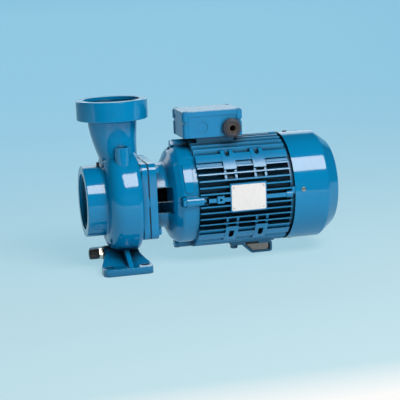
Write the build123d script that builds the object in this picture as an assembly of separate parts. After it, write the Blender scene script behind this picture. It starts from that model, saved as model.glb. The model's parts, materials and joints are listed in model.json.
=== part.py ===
from build123d import *
import math
import os

# Sizes in mm. X runs along the shaft from the suction side to the motor, Z is up
# from the floor and Y = 0 is the upright plane through the shaft. The discharge
# port stands over X = 0.

# Overall sizes
shaft_height = 132.0
suction_face = 67.5
discharge_rise = 198.5
frame_length = 185.0
port_ring_r = 70.0
port_ring_height = 38.2
port_bore_r = 55.0
port_bore_depth = 33.5

# Pump casing
drum_r = 105.5
drum_front_x = 28.0
drum_rear_x = 36.0
drum_front_rim_r = 30.0
drum_rear_rim_r = 13.0
casing_wall = 7.0
cover_bore_r = 67.0
flange_r = 75.0
flange_bolt_circle_r = 84.0
flange_lug_r = 14.0
casing_flange = 13.0
bracket_flange = 16.5
joint_x = 51.5
neck_r = 48.0
plug_boss_r = 14.5
plug_r = 10.5
plug_x = 6.0
plug_y = 60.5
plug_boss_height = 24.6
gauge_x = -35.0
gauge_y = -6.0
gauge_r = 3.0
drain_boss_r = 14.0
drain_boss_length = 5.0
drain_bore_r = 6.6
drain_above_drum = 2.5
drain_neck_r = 6.0
drain_knob_r = 10.4

# The two feet under the casing
foot_length = 97.0
foot_width = 212.0
foot_inner_y = 72.0
foot_thickness = 14.0
foot_corner_r = 12.0
foot_rib = 9.0
leg_slope_y = 38.0
foot_slot_x = 70.0
foot_slot_y = 168.0
foot_slot_r = 7.0
foot_slot_length = 19.0

# Lantern and drive-end bell
lantern_r = 64.5
lantern_wall = 8.0
window_half_height = 26.0
lantern_end_x = 99.0
seal_bore_r = 20.0
bell_r = 98.5
bell_bore_r = 82.0
bell_front_x = 112.0
bell_rear_x = 146.0
bell_pad_rise = 2.0
bell_pad_r = 9.0
bell_pad_x = 127.5
tie_circle_r = 100.5
tie_lug_r = 9.5
tie_lug_length = 15.0
tie_pocket = 8.5
tie_seat = 26.0
bearing_r = 31.0
bearing_width = 16.0
bearing_front_x = 107.0

# Motor frame
frame_r = 109.0
frame_root_r = 92.5
frame_bore_r = 86.0
fin_pitch = 12.4
fin_thickness = 2.7
centre_rib = 8.0
side_fins = 5
top_fins = 5
foot_pad_x = (211.0, 271.0)
foot_pad_rise = 0.8
pad_post_x = 10.5
pad_post_width = 4.6
notch_r = 5.0
strap_pad_half = 22.0
earth_boss_x = 185.0
earth_boss = 14.0
plate_x = 241.5
plate_width = 69.0
plate_height = 51.0
plate_thickness = 0.8
plate_seat = 0.2

# Terminal box on top of the frame
plinth_height = 6.5
plinth_x = 198.0
plinth_length = 76.0
box_front_x = 132.5
box_length = 117.0
box_width = 92.0
box_height = 52.5
box_wall = 4.0
lid_height = 10.5
lid_edge_r = 1.5
lid_screw_inset = 5.5
lid_ear_r = 8.2
lid_screw_r = 2.0
lid_head_r = 4.0
lid_head_depth = 4.0
knockout_r = 11.2
knockout_depth = 1.2
knockout_x = 169.5
knockout_rise = 20.5
gland_x = 227.0
gland_rise = 16.5
gland_flange_r = 16.3
gland_nut_r = 18.5
gland_bore_r = 12.5
gland_hole_r = 10.0
cable_hole_r = 6.0

# Foot under the motor
foot_strap = 4.5
strap_half = 21.0
strap_start_x = 228.0
strap_end_x = 310.0
web_thickness = 3.0
web_recess = 2.5
strap_screw_x = 237.0
strap_screw_r = 4.0
strap_screw_flats = 13.0
strap_washer = 1.6

# Fan cover and fan-end shield
cover_gap = 6.0
cover_straight = 70.0
cover_taper_length = 28.0
cover_taper = 22.2
cover_step = 0.2
cover_sheet = 1.5
cover_opening_r = 74.0
cover_screw_place = 17.0
cover_screw_r = 2.0
cover_head_r = 4.6
cover_screw_turn = -4.0
shield_ear = 14.0

# Rotor
shaft_end_r = 8.0
shaft_hub_r = 11.0
shaft_lantern_r = 14.0
shaft_seat_r = 15.0
shaft_core_r = 19.0
shaft_fan_r = 12.0
impeller_r = 61.0
impeller_back_x = 38.0
blade_count = 6
fan_r = 95.0
fan_blades = 8
fan_place = 35.0
running_gap = 0.3
fit_gap = 0.1

# Screws
flange_screw_r = 5.0
tie_screw_r = 5.0
screw_hole_gap = 0.5
hex_m10 = 17.0
hex_m10_head = 6.5
washer_r = 10.5
washer_thickness = 2.0

# Places that follow from the sizes above
drum_low = shaft_height - drum_r
drain_z = drum_low - drain_above_drum
plug_top = shaft_height + math.sqrt(drum_r ** 2 - plug_y ** 2) + plug_boss_height
casing_flange_x = joint_x - casing_flange
bracket_flange_x = joint_x + bracket_flange
frame_rear_x = bell_rear_x + frame_length
cover_x = frame_rear_x + cover_gap
cover_bend_x = cover_x + cover_straight
cover_end_x = cover_bend_x + cover_taper_length
cover_r = frame_r + cover_step
cover_end_r = cover_r - cover_taper
cover_screw_x = cover_x + cover_screw_place
box_bottom = shaft_height + frame_r + plinth_height
box_top = box_bottom + box_height
box_side = box_width / 2
gland_z = box_bottom + gland_rise
knockout_z = box_bottom + knockout_rise
strap_top = shaft_height - frame_r
gap_z = side_fins * fin_pitch

shaft_line = Axis((0, 0, shaft_height), (1, 0, 0))
quarter_turns = (0, 90, 180, 270)
diagonals = (45, 135, 225, 315)


def along_x(x0, x1, r, y=0.0, z=shaft_height):
    return Pos((x0 + x1) / 2, y, z) * Rot(0, 90, 0) * Cylinder(r, x1 - x0)


def along_y(y0, y1, r, x, z):
    return Pos(x, (y0 + y1) / 2, z) * Rot(90, 0, 0) * Cylinder(r, y1 - y0)


def along_z(z0, z1, r, x=0.0, y=0.0):
    return Pos(x, y, (z0 + z1) / 2) * Cylinder(r, z1 - z0)


def block(x0, x1, y0, y1, z0, z1):
    return Pos((x0 + x1) / 2, (y0 + y1) / 2, (z0 + z1) / 2) * Box(x1 - x0, y1 - y0, z1 - z0)


def turned(points):
    """Revolve (x, radius, corner radius) points about the shaft line."""
    wire = FilletPolyline(
        *[(x, 0, shaft_height + r) for x, r, _ in points],
        radius=[c for _, _, c in points],
        close=True,
    )
    return revolve(Face(Wire(wire.edges())), shaft_line)


def round_shaft(shape, angles):
    """Copies of a shape turned about the shaft line."""
    return [shape.rotate(shaft_line, a) for a in angles]


def hex_head(x0, x1, across_flats, y=0.0, z=0.0):
    """Hexagonal head or nut lying along X, y and z from the shaft line."""
    sketch = Plane.YZ * RegularPolygon(across_flats / 2, 6, major_radius=False)
    return Pos(x0, y, shaft_height + z) * extrude(sketch, x1 - x0)


def radial_lug(x0, x1, circle_r, lug_r, inner_r):
    """Lug with a round end, standing straight up from the shaft line."""
    length = circle_r - inner_r
    stem = block(x0, x1, -lug_r, lug_r, shaft_height + inner_r, shaft_height + inner_r + length)
    return stem + along_x(x0, x1, lug_r, 0, shaft_height + circle_r)


def elliptic_neck(shrink, sections):
    """Loft through upright ellipses given as (z, centre x, half x, half y)."""
    return loft([
        Pos(cx, 0, z) * Ellipse(rx - shrink, ry - shrink).face() for z, cx, rx, ry in sections
    ])


def casing_feet():
    """Two separate foot plates, each with a leg that slopes up to the drum and a rib on it."""
    half = foot_length / 2
    outer = foot_width / 2
    plate = block(-half, half, foot_inner_y, outer, 0, foot_thickness)
    plate = fillet(plate.edges().filter_by(Axis.Z).sort_by(Axis.Y)[-2:], foot_corner_r)

    # the leg is drawn from the side and trimmed to its outline seen from above
    slope = Plane.YZ * Polyline(
        (foot_inner_y, 0), (foot_inner_y + 5, foot_thickness), (foot_inner_y - 14, foot_thickness + 4),
        (leg_slope_y, drum_low - 2), (20, drum_low + 8), (8, drum_low + 8), (8, drum_low - 3),
        (leg_slope_y, foot_thickness - 5), (foot_inner_y - 12, 2), close=True)
    leg = extrude(make_face(slope), half, both=True)
    plan = Plane.XY * Polyline(
        (-half + 1, outer), (-half + 1, foot_inner_y - 2), (-38, leg_slope_y), (-22, 8), (32, 8),
        (34, leg_slope_y - 6), (half - 2, foot_inner_y - 4), (half - 2, outer), close=True)
    leg &= extrude(make_face(plan), drum_low + 20)
    rib_outline = Plane.YZ * Polyline(
        (leg_slope_y, foot_thickness - 2), (outer - 1, foot_thickness - 2), (outer - 1, foot_thickness),
        (leg_slope_y + 16, drum_low + 13), (leg_slope_y, drum_low + 13), close=True)
    rib = Pos(0.5, 0, 0) * extrude(make_face(rib_outline), foot_rib)
    slot = extrude(SlotOverall(foot_slot_length, 2 * foot_slot_r), foot_thickness + 12)
    foot = plate + leg + rib
    for sx in (-1, 1):
        foot -= Pos(sx * foot_slot_x / 2, foot_slot_y / 2, -1) * slot
    return [foot, mirror(foot, Plane.XZ)]


def casing_neck(z_top, z_low, shrink):
    """Discharge neck, seen from the side in line with the drum at its foot."""
    ring_foot = shaft_height + discharge_rise - port_ring_height
    return elliptic_neck(shrink, [
        (z_top, -0.8, neck_r, neck_r),
        (ring_foot - 25, 0, neck_r - 2, neck_r - 1.5),
        (ring_foot - 50, 2.5, neck_r - 6, neck_r + 1),
        (ring_foot - 70, 5.5, neck_r - 9.5, neck_r + 8),
        (z_low, 9, neck_r - 21, neck_r + 22),
    ])


def pump_casing():
    top = shaft_height + discharge_rise
    ring_foot = top - port_ring_height
    inner_r = drum_r - casing_wall
    body = turned([
        (-suction_face, 0, 0), (-suction_face, port_ring_r, 1.5), (-drum_front_x, port_ring_r, 4),
        (-drum_front_x, drum_r, drum_front_rim_r), (drum_rear_x, drum_r, drum_rear_rim_r),
        (casing_flange_x, drum_r - 20, 1), (casing_flange_x, flange_r, 0),
        (joint_x, flange_r, 0), (joint_x, 0, 0),
    ])
    lug = radial_lug(casing_flange_x - 3, joint_x, flange_bolt_circle_r, flange_lug_r, 55)
    body += round_shaft(lug, diagonals)
    body += casing_neck(ring_foot + 1, ring_foot - 104, 0)
    body += Pos(0, 0, ring_foot - 2) * Cone(neck_r, neck_r + 4, 4.2)
    ring = along_z(ring_foot, top, port_ring_r)
    body += fillet(ring.edges().filter_by(GeomType.CIRCLE), 1.5)

    # bosses of the priming plug and the drain
    body += along_z(shaft_height + 50, plug_top, plug_boss_r, plug_x, -plug_y)
    body += along_x(-drum_front_x - drain_boss_length, 12, drain_boss_r, 0, drain_z)
    for foot in casing_feet():
        body += foot

    # inside of the casing
    front = -drum_front_x + casing_wall
    body -= turned([
        (-suction_face - 1, 0, 0), (-suction_face - 1, port_bore_r, 0),
        (-suction_face + port_bore_depth, port_bore_r, 0),
        (-suction_face + port_bore_depth, port_bore_r - 5, 0), (front, port_bore_r - 5, 0),
        (front, inner_r, drum_front_rim_r - casing_wall), (drum_rear_x - 9, inner_r, 6),
        (casing_flange_x - casing_wall, cover_bore_r + 12, 4),
        (casing_flange_x - casing_wall, cover_bore_r, 0),
        (joint_x + 1, cover_bore_r, 0), (joint_x + 1, 0, 0),
    ])
    body -= casing_neck(ring_foot + 2, ring_foot - 98, casing_wall)
    body -= along_z(ring_foot - 1, top + 1, neck_r - casing_wall)
    body -= along_z(top - port_bore_depth, top + 1, port_bore_r)
    body -= along_z(shaft_height + 70, plug_top + 1, plug_r, plug_x, -plug_y)
    body -= along_z(shaft_height + port_ring_r - 8, shaft_height + port_ring_r + 4, gauge_r,
                    gauge_x, gauge_y)
    body -= along_x(-drum_front_x - drain_boss_length - 1, -8, drain_bore_r, 0, drain_z)
    body -= along_z(drain_z, drum_low + casing_wall + 6, 4.5, -14, 0)
    hole = along_x(casing_flange_x - 4, joint_x + 1, flange_screw_r, 0,
                   shaft_height + flange_bolt_circle_r)
    body -= round_shaft(hole, diagonals)
    return body


def lantern_bracket():
    hub_r = bearing_r + 6
    hub_x = bearing_front_x
    hub_end_x = bearing_front_x + bearing_width + 2
    body = turned([
        (joint_x - 6, 0, 0), (joint_x - 6, cover_bore_r - 0.2, 0), (joint_x, cover_bore_r - 0.2, 0),
        (joint_x, flange_r, 0), (bracket_flange_x, flange_r, 1), (bracket_flange_x, lantern_r, 2),
        (bell_front_x - 20, lantern_r, 8), (bell_front_x - 8, bell_r - 10.5, 10),
        (bell_front_x + 4, bell_r, 10),
        (bell_rear_x, bell_r, 0), (bell_rear_x, frame_bore_r - fit_gap, 0),
        (bell_rear_x + 4, frame_bore_r - fit_gap, 0), (bell_rear_x + 4, bell_bore_r, 0),
        (bell_front_x + 4, bell_bore_r, 8), (hub_x, bell_bore_r - 10, 4), (hub_x, hub_r, 3),
        (hub_end_x, hub_r, 0), (hub_end_x, 0, 0),
    ])
    lug = radial_lug(joint_x, bracket_flange_x, flange_bolt_circle_r, flange_lug_r, 55)
    body += round_shaft(lug, diagonals)
    tie_lug = radial_lug(bell_rear_x - tie_seat, bell_rear_x, tie_circle_r, tie_lug_r,
                         bell_bore_r + 2)
    body += round_shaft(tie_lug, quarter_turns)
    # U-shaped pad on the near side of the bell
    x0, x1 = bell_pad_x - bell_pad_r, bell_pad_x + bell_pad_r
    pad = along_y(-bell_r - 4, -bell_r + 12, bell_pad_r, bell_pad_x, shaft_height + 25)
    pad += block(x0, x1, -bell_r - 4, -bell_r + 30, shaft_height + 25, shaft_height + 68)
    body += pad & along_x(x0 - 1, x1 + 1, bell_r + bell_pad_rise)

    body -= along_x(joint_x + 7, lantern_end_x, lantern_r - lantern_wall)
    body -= along_x(joint_x - 7, joint_x + 8, seal_bore_r)
    body -= along_x(lantern_end_x - 1, hub_end_x + 1, shaft_lantern_r + 2)
    body -= along_x(hub_x, hub_end_x + 1, bearing_r)
    window = block(bracket_flange_x + 2, lantern_end_x, -90, 90,
                   shaft_height - window_half_height, shaft_height + window_half_height)
    body -= window
    hole = along_x(joint_x - 1, bracket_flange_x + 1, flange_screw_r + screw_hole_gap, 0,
                   shaft_height + flange_bolt_circle_r)
    body -= round_shaft(hole, diagonals)
    seat_x = bell_rear_x - tie_seat
    spot = along_x(seat_x - 20, seat_x, washer_r + 0.7, 0, shaft_height + tie_circle_r)
    spot += along_x(seat_x - 1, bell_rear_x + 1, tie_screw_r + screw_hole_gap, 0,
                    shaft_height + tie_circle_r)
    body -= round_shaft(spot, quarter_turns)
    return body


def flange_screws():
    head = hex_head(bracket_flange_x, bracket_flange_x + hex_m10_head, hex_m10, 0,
                    flange_bolt_circle_r)
    shank = along_x(casing_flange_x - 2, bracket_flange_x, flange_screw_r - fit_gap, 0,
                    shaft_height + flange_bolt_circle_r)
    return round_shaft(head + shank, diagonals)


def tie_screws():
    seat_x = bell_rear_x - tie_seat
    under = seat_x - washer_thickness
    washer = along_x(under, seat_x, washer_r, 0, shaft_height + tie_circle_r)
    head = hex_head(under - hex_m10_head, under, hex_m10, 0, tie_circle_r)
    shank = along_x(seat_x, bell_rear_x + tie_lug_length - 3, tie_screw_r - fit_gap, 0,
                    shaft_height + tie_circle_r)
    return round_shaft(head + washer + shank, quarter_turns)


def shaft():
    seat_x = bearing_front_x + bearing_width + 3
    rear_x = frame_rear_x - bearing_width - 1
    fan_x = frame_rear_x + fan_place
    back = impeller_back_x
    return turned([
        (-12, 0, 0), (-12, shaft_end_r, 1), (0, shaft_end_r, 0), (0, shaft_hub_r, 0),
        (back, shaft_hub_r, 0), (back, shaft_lantern_r, 0),
        (bearing_front_x - 3, shaft_lantern_r, 0), (bearing_front_x - 3, shaft_seat_r, 0),
        (seat_x, shaft_seat_r, 0), (seat_x, shaft_core_r, 2), (rear_x, shaft_core_r, 2),
        (rear_x, shaft_seat_r, 0), (frame_rear_x + 4, shaft_seat_r, 0),
        (frame_rear_x + 4, shaft_fan_r, 0), (fan_x + 20, shaft_fan_r, 1), (fan_x + 20, 0, 0),
    ])


def impeller():
    back = turned([
        (impeller_back_x, shaft_hub_r + fit_gap / 2, 0), (impeller_back_x, 18, 2), (22, 20, 3),
        (22, impeller_r, 0), (18, impeller_r, 0), (18, 34, 12), (0, 18, 4),
        (0, shaft_hub_r + fit_gap / 2, 0),
    ])
    front = turned([
        (-16, 42, 0), (-16, 46, 0), (-8, 47, 4), (1, impeller_r, 0), (5, impeller_r, 0),
        (-3, 44, 4), (-8, 42, 2),
    ])
    blades = []
    for k in range(blade_count):
        arc = ThreePointArc((0, 19), (13, 36), (1, impeller_r - 0.3))
        strip = Plane.YZ * offset(arc, 1.6, side=Side.BOTH)
        face = make_face(strip)
        blade = Pos(-14, 0, shaft_height) * extrude(face, 33)
        blades.append(blade.rotate(shaft_line, k * 360 / blade_count))
    channel = turned([
        (19, 15, 0), (19, impeller_r, 0), (3, impeller_r, 0), (-5, 45, 0), (-12, 43.5, 0),
        (-12, 30, 0), (4, 15, 0),
    ])
    body = back + front
    for blade in blades:
        body += blade & channel
    return body


def impeller_nut():
    return hex_head(-9, 0, 22, 0, 0) - along_x(-10, 1, shaft_end_r + fit_gap)


def seal_seat():
    ring = along_x(joint_x - 5, joint_x + 5, seal_bore_r - fit_gap)
    return ring - along_x(joint_x - 6, joint_x + 6, shaft_lantern_r + running_gap)


def seal_head():
    ring = along_x(impeller_back_x + 0.5, joint_x - 5 - running_gap, 18)
    return ring - along_x(impeller_back_x, joint_x, shaft_lantern_r)


def bearing(x0):
    ring = along_x(x0, x0 + bearing_width, bearing_r - fit_gap)
    return ring - along_x(x0 - 1, x0 + bearing_width + 1, shaft_seat_r + running_gap)


def plugs():
    top = plug_top - 3.5
    priming = along_z(top - 15.5, top, plug_r - fit_gap, plug_x, -plug_y)
    socket = Pos(plug_x, -plug_y, top - 6.5) * extrude(RegularPolygon(5, 6), 8)
    ring = shaft_height + port_ring_r
    gauge = along_z(ring - 8, ring + 7, gauge_r - fit_gap, gauge_x, gauge_y)
    return priming - socket, gauge


def drain_valve():
    """Washer, hexagon body and knob of the drain, from the boss out to the suction side."""
    face = -drum_front_x - drain_boss_length
    washer = along_x(face - 2, face, drain_boss_r - 2, 0, drain_z)
    washer -= along_x(face - 3, face + 1, drain_bore_r, 0, drain_z)
    hexagon = Plane.YZ * RegularPolygon(10, 6, major_radius=False)
    body = Pos(face - 9, 0, drain_z) * extrude(hexagon, 7)
    body += along_x(face - 16, face - 9, drain_neck_r, 0, drain_z)
    body += along_x(face - 2, face + 18, drain_bore_r - fit_gap, 0, drain_z)
    knob = along_x(face - 29, face - 9.5, drain_knob_r, 0, drain_z)
    knob -= along_x(face - 17, face - 9, drain_neck_r + fit_gap, 0, drain_z)
    groove = along_x(face - 30, face - 13, 1.1, -drain_knob_r - 0.5, drain_z)
    line = Axis((0, 0, drain_z), (1, 0, 0))
    return washer, body, knob - [groove.rotate(line, a) for a in range(0, 360, 30)]


def frame_section():
    """Cross-section of the finned housing, local x = Y and local y = up."""
    root = Circle(frame_root_r)
    outline = Circle(frame_r)
    fins = []
    for k in range(-side_fins, side_fins + 1):
        t = centre_rib if k == 0 else fin_thickness
        fins.append(Pos(0, k * fin_pitch) * Rectangle(2 * frame_r, t))
    for k in range(-top_fins, top_fins):
        fins.append(Pos((k + 0.5) * fin_pitch, 0) * Rectangle(fin_thickness, 2 * frame_r))
    section = root
    for fin in fins:
        section += fin & outline
    # corner pads between the side fins and the upright fins
    pad = Circle(frame_r) & Polygon(
        (60, 60), (frame_r * 1.2 * math.cos(math.radians(38.5)),
                   frame_r * 1.2 * math.sin(math.radians(38.5))),
        (frame_r * 1.2 * math.cos(math.radians(54)), frame_r * 1.2 * math.sin(math.radians(54))),
        align=None)
    step = Circle(frame_r - 4) & Polygon(
        (60, 45), (frame_r * 1.2 * math.cos(math.radians(35)),
                   frame_r * 1.2 * math.sin(math.radians(35))),
        (frame_r * 1.2 * math.cos(math.radians(45)), frame_r * 1.2 * math.sin(math.radians(45))),
        align=None)
    corner = pad + step
    for shape in (corner, mirror(corner, Plane.YZ), mirror(corner, Plane.XZ),
                  mirror(mirror(corner, Plane.YZ), Plane.XZ)):
        section += shape
    return section - Circle(frame_bore_r)


def foot_pads():
    """Raised faces for detachable feet on the corner pads, and posts to the fins beside them."""
    half = pad_post_x + pad_post_width / 2
    solids = []
    for x in foot_pad_x:
        face = along_x(x - half, x + half, frame_r + foot_pad_rise)
        front = along_x(x - half, x + half, frame_r - 3)
        behind = along_x(x - half, x + half, frame_root_r + 5)
        for sy in (-1, 1):
            y0, y1 = sorted((sy * frame_r * 0.53, sy * (frame_r + 2)))
            for sz in (-1, 1):
                z0, z1 = sorted((shaft_height + sz * (gap_z - 5), shaft_height + sz * (gap_z + 28)))
                solids.append(block(x - half, x + half, y0, y1, z0, z1) & face)
                z0, z1 = sorted((shaft_height + sz * (gap_z - 2 * fin_pitch),
                                 shaft_height + sz * gap_z))
                for dx in (-pad_post_x, pad_post_x):
                    solids.append(block(x + dx - pad_post_width / 2, x + dx + pad_post_width / 2,
                                        y0, y1, z0, z1) & front)
                solids.append(block(x - pad_post_x, x + pad_post_x, y0, y1, z0, z1) & behind)
    return solids


def pad_notches():
    """Rounded notches in the upper pads and pockets in the lower ones."""
    top = shaft_height + gap_z + 22
    low = shaft_height - gap_z - 15
    solids = []
    for x in foot_pad_x:
        for sy in (-1, 1):
            y0, y1 = sorted((sy * frame_r * 0.55, sy * (frame_r + 2)))
            solids.append(along_y(y0, y1, notch_r, x, top))
            solids.append(block(x - notch_r, x + notch_r, y0, y1, top, shaft_height + frame_r))
            solids.append(along_y(y0, y1, notch_r, x, low))
            solids.append(block(x - notch_r, x + notch_r, y0, y1, low, low + 2 * notch_r))
    return solids


def motor_frame():
    body = Pos(bell_rear_x, 0, shaft_height) * extrude(Plane.YZ * frame_section(), frame_length)
    # plinth under the terminal box
    body += block(plinth_x - plinth_length / 2, plinth_x + plinth_length / 2, -32, 32,
                  shaft_height + frame_root_r - 2.5, box_bottom)
    # lugs that take the tie screws, open at the screw's end, and the lugs at the fan end
    end = bell_rear_x + tie_lug_length
    seat = end - tie_pocket
    pocket_r = tie_lug_r - 3
    lug = radial_lug(bell_rear_x, end, tie_circle_r, tie_lug_r, frame_bore_r + 2)
    pocket = block(seat, end + 1, -pocket_r, pocket_r, shaft_height + tie_circle_r - 3,
                   shaft_height + tie_circle_r + tie_lug_r + 1)
    pocket += along_x(seat, end + 1, pocket_r, 0, shaft_height + tie_circle_r)
    rear_lug = radial_lug(frame_rear_x - 12, frame_rear_x, frame_r - 5, 7, frame_bore_r + 2)
    body += round_shaft(lug, quarter_turns) + round_shaft(rear_lug, quarter_turns)
    body -= round_shaft(pocket, quarter_turns)
    body += foot_pads()
    body -= pad_notches()
    # earth terminal boss and the seat of the rating plate on the near side
    half = earth_boss / 2
    body += block(earth_boss_x - half, earth_boss_x + half, -frame_r - 3, -frame_root_r,
                  shaft_height + 1 - half, shaft_height + 1 + half)
    body += block(plate_x - plate_width / 2 - 2, plate_x + plate_width / 2 + 2,
                  -frame_r - plate_seat, -frame_root_r + 4, shaft_height + 2 - plate_height / 2 - 2.5,
                  shaft_height + 2 + plate_height / 2 + 2.5)
    # pad for the support foot
    body += block(strap_start_x - 2, strap_end_x + 6, -strap_pad_half, strap_pad_half, strap_top,
                  shaft_height - frame_root_r + 2)
    body -= along_x(bell_rear_x - 1, frame_rear_x + 1, frame_bore_r)
    hole = along_x(bell_rear_x - 1, end, tie_screw_r, 0, shaft_height + tie_circle_r)
    body -= round_shaft(hole, quarter_turns)
    body -= along_y(-frame_r - 4, -frame_r + 8, 2.6, earth_boss_x, shaft_height + 1)
    body -= along_z(strap_top - 1, strap_top + 11, strap_screw_r + fit_gap, strap_screw_x, 0)
    return body


def rear_shield():
    x = frame_rear_x
    spigot_r = frame_bore_r - fit_gap
    outer_r = frame_r - 9
    body = turned([
        (x - 6, spigot_r, 0), (x, spigot_r, 0), (x, outer_r, 0), (x + 10, outer_r, 3),
        (x + 10, bearing_r + 7, 3), (x + 14, bearing_r + 5, 0), (x + 14, 0, 0),
        (x - bearing_width + 1, 0, 0), (x - bearing_width + 1, bearing_r + 6, 0),
        (x + 2, bearing_r + 9, 3), (x + 2, frame_bore_r - 6, 3), (x - 6, frame_bore_r - 6, 0),
    ])
    half = shield_ear / 2
    ear_end = cover_screw_x + 10
    ear = block(x, ear_end, -half, half, shaft_height + outer_r - 8, shaft_height + cover_r + 5)
    ear = ear & along_x(x, ear_end, cover_r - cover_sheet)
    ear = ear - along_z(shaft_height + outer_r - 4, shaft_height + cover_r + 10,
                        cover_screw_r + fit_gap, cover_screw_x, 0)
    body += round_shaft(ear, [a + cover_screw_turn for a in quarter_turns])
    body -= along_x(x - bearing_width, x + 1, bearing_r)
    body -= along_x(x - 1, x + 15, shaft_seat_r + 2)
    return body


def fan_cover():
    s = cover_sheet
    body = turned([
        (cover_x, cover_r - s, 0), (cover_x, cover_r, 0), (cover_bend_x, cover_r, 6),
        (cover_end_x, cover_end_r, 5), (cover_end_x, cover_opening_r, 0),
        (cover_end_x - s, cover_opening_r, 0), (cover_end_x - s, cover_end_r - s * 0.6, 4),
        (cover_bend_x - s * 0.4, cover_r - s, 5),
    ])
    hole = along_z(shaft_height + cover_r - 5, shaft_height + cover_r + 5,
                   cover_screw_r + running_gap, cover_screw_x, 0)
    return body - round_shaft(hole, [a + cover_screw_turn for a in quarter_turns])


def fan_guard():
    x0 = cover_end_x - 2 * cover_sheet
    guard_r = cover_opening_r + 6
    disc = along_x(x0, x0 + cover_sheet, guard_r)
    ring_width = 9.0
    for k in range(5):
        r0 = 18 + k * 12
        ring = along_x(x0 - 1, x0 + 3, r0 + ring_width) - along_x(x0 - 2, x0 + 4, r0)
        for a in (0, 45, 90, 135):
            ring -= block(x0 - 3, x0 + 5, -2.5, 2.5, shaft_height - guard_r,
                          shaft_height + guard_r).rotate(shaft_line, a)
        disc -= ring
    return disc


def cover_screws():
    top = shaft_height + cover_r
    head = along_z(top, top + 2.6, cover_head_r, cover_screw_x, 0)
    shank = along_z(top - 12, top, cover_screw_r, cover_screw_x, 0)
    return round_shaft(head + shank, [a + cover_screw_turn for a in quarter_turns])


def cooling_fan():
    x = frame_rear_x + fan_place
    body = along_x(x, x + 26, 20) - along_x(x - 1, x + 27, shaft_fan_r + fit_gap)
    body += along_x(x + 2, x + 5, 70) - along_x(x, x + 6, 15)
    blade = block(x + 4, x + 30, -1.5, 1.5, shaft_height + 17, shaft_height + fan_r)
    return body + round_shaft(blade, [k * 360 / fan_blades for k in range(fan_blades)])


def lid_screw_places():
    """Centres of the four lid screws."""
    x0, x1 = box_front_x + lid_screw_inset, box_front_x + box_length - lid_screw_inset
    y = box_side - lid_screw_inset
    return [(x, sy * y) for x in (x0, x1) for sy in (-1, 1)]


def terminal_box():
    x0, x1 = box_front_x, box_front_x + box_length
    w = box_side
    split = box_top - lid_height
    body = block(x0, x1, -w, w, box_bottom, split)
    body = fillet(body.edges().filter_by(Axis.Z), box_wall)
    body -= block(x0 + box_wall, x1 - box_wall, -w + box_wall, w - box_wall,
                  box_bottom + box_wall, split + 1)
    for x, y in lid_screw_places():
        body += along_z(box_bottom + 1, split - 15, lid_ear_r - 0.7, x, y)
        body += along_z(split - 16, split, 5, x, y)
        body -= along_z(split - 30, split + 1, lid_screw_r + fit_gap, x, y)
    body -= along_y(-w - 1, -w + knockout_depth, knockout_r, knockout_x, knockout_z)
    body -= along_y(-w - 4, -w + 16, gland_bore_r, gland_x, gland_z)
    body -= along_y(-w - 4, -w, gland_flange_r + 0.2, gland_x, gland_z)
    body -= block(plinth_x - 22, plinth_x + 24, -20, 20, box_bottom - 1, box_bottom + box_wall + 1)
    return body


def box_lid():
    x0, x1 = box_front_x, box_front_x + box_length
    w = box_side
    split = box_top - lid_height
    lid = block(x0 - 1, x1 + 1, -w - 1, w + 1, split, box_top)
    lid = fillet(lid.edges().filter_by(Axis.Z), box_wall)
    lid = fillet(lid.edges().group_by(Axis.Z)[-1], lid_edge_r)
    for x, y in lid_screw_places():
        ear = along_z(split - 9, box_top - 3, lid_ear_r, x, y)
        lid += ear - block(x0 - 0.1, x1 + 0.1, -w - 0.1, w + 0.1, split - 10, split)
    lid -= block(x0 + 2 * lid_ear_r + 1, x1 - 2 * lid_ear_r - 1, -w + 6, w - 6, split - 1, box_top - 3)
    for x, y in lid_screw_places():
        lid -= along_z(split - 1, box_top + 1, lid_screw_r + 0.3, x, y)
        lid -= along_z(box_top - lid_head_depth, box_top + 1, lid_head_r + 0.4, x, y)
    return lid


def lid_screws():
    screws = []
    for x, y in lid_screw_places():
        seat = box_top - lid_head_depth
        screws.append(along_z(seat, box_top - 0.8, lid_head_r, x, y)
                      + along_z(seat - 32, seat, lid_screw_r, x, y))
    return screws


def cable_gland():
    face = -box_side
    body = along_y(face - 5, face, gland_flange_r, gland_x, gland_z)
    body += along_y(face - 1, face + box_wall + 6, gland_bore_r - fit_gap, gland_x, gland_z)
    body += along_y(face - 13, face - 4, gland_nut_r, gland_x, gland_z)
    dome = Cone(gland_nut_r, gland_nut_r - 5, 6)
    body += Pos(gland_x, face - 16, gland_z) * Rot(90, 0, 0) * dome
    return body - along_y(face - 30, face + 20, gland_hole_r, gland_x, gland_z)


def gland_insert():
    face = -box_side
    ring = along_y(face - 18, face + 4, gland_hole_r - fit_gap, gland_x, gland_z)
    return ring - along_y(face - 30, face + 20, cable_hole_r, gland_x, gland_z)


def motor_foot():
    """Bent strap that stands under the motor, and bolts up to the frame's pad."""
    c = foot_strap / 2
    x0, x1 = strap_start_x, strap_end_x
    line = Plane.XZ * FilletPolyline(
        (x0, strap_top - c), (x0 + 23, strap_top - c), (x0 + 41, c), (x1 + 2 - c, c), (x1, 9),
        (x1, strap_top - c), (x1 - 24, strap_top - c), radius=[5, 5, 3, 3, 3])
    bent = make_face(offset(line, c, side=Side.BOTH))
    strap = extrude(bent, strap_half, both=True)
    strap &= block(x0 - 30, x1 + 30, -strap_half - 1, strap_half + 1, 0, strap_top)
    return strap - along_z(0, strap_top + 1, strap_screw_r + screw_hole_gap, strap_screw_x, 0)


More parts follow.
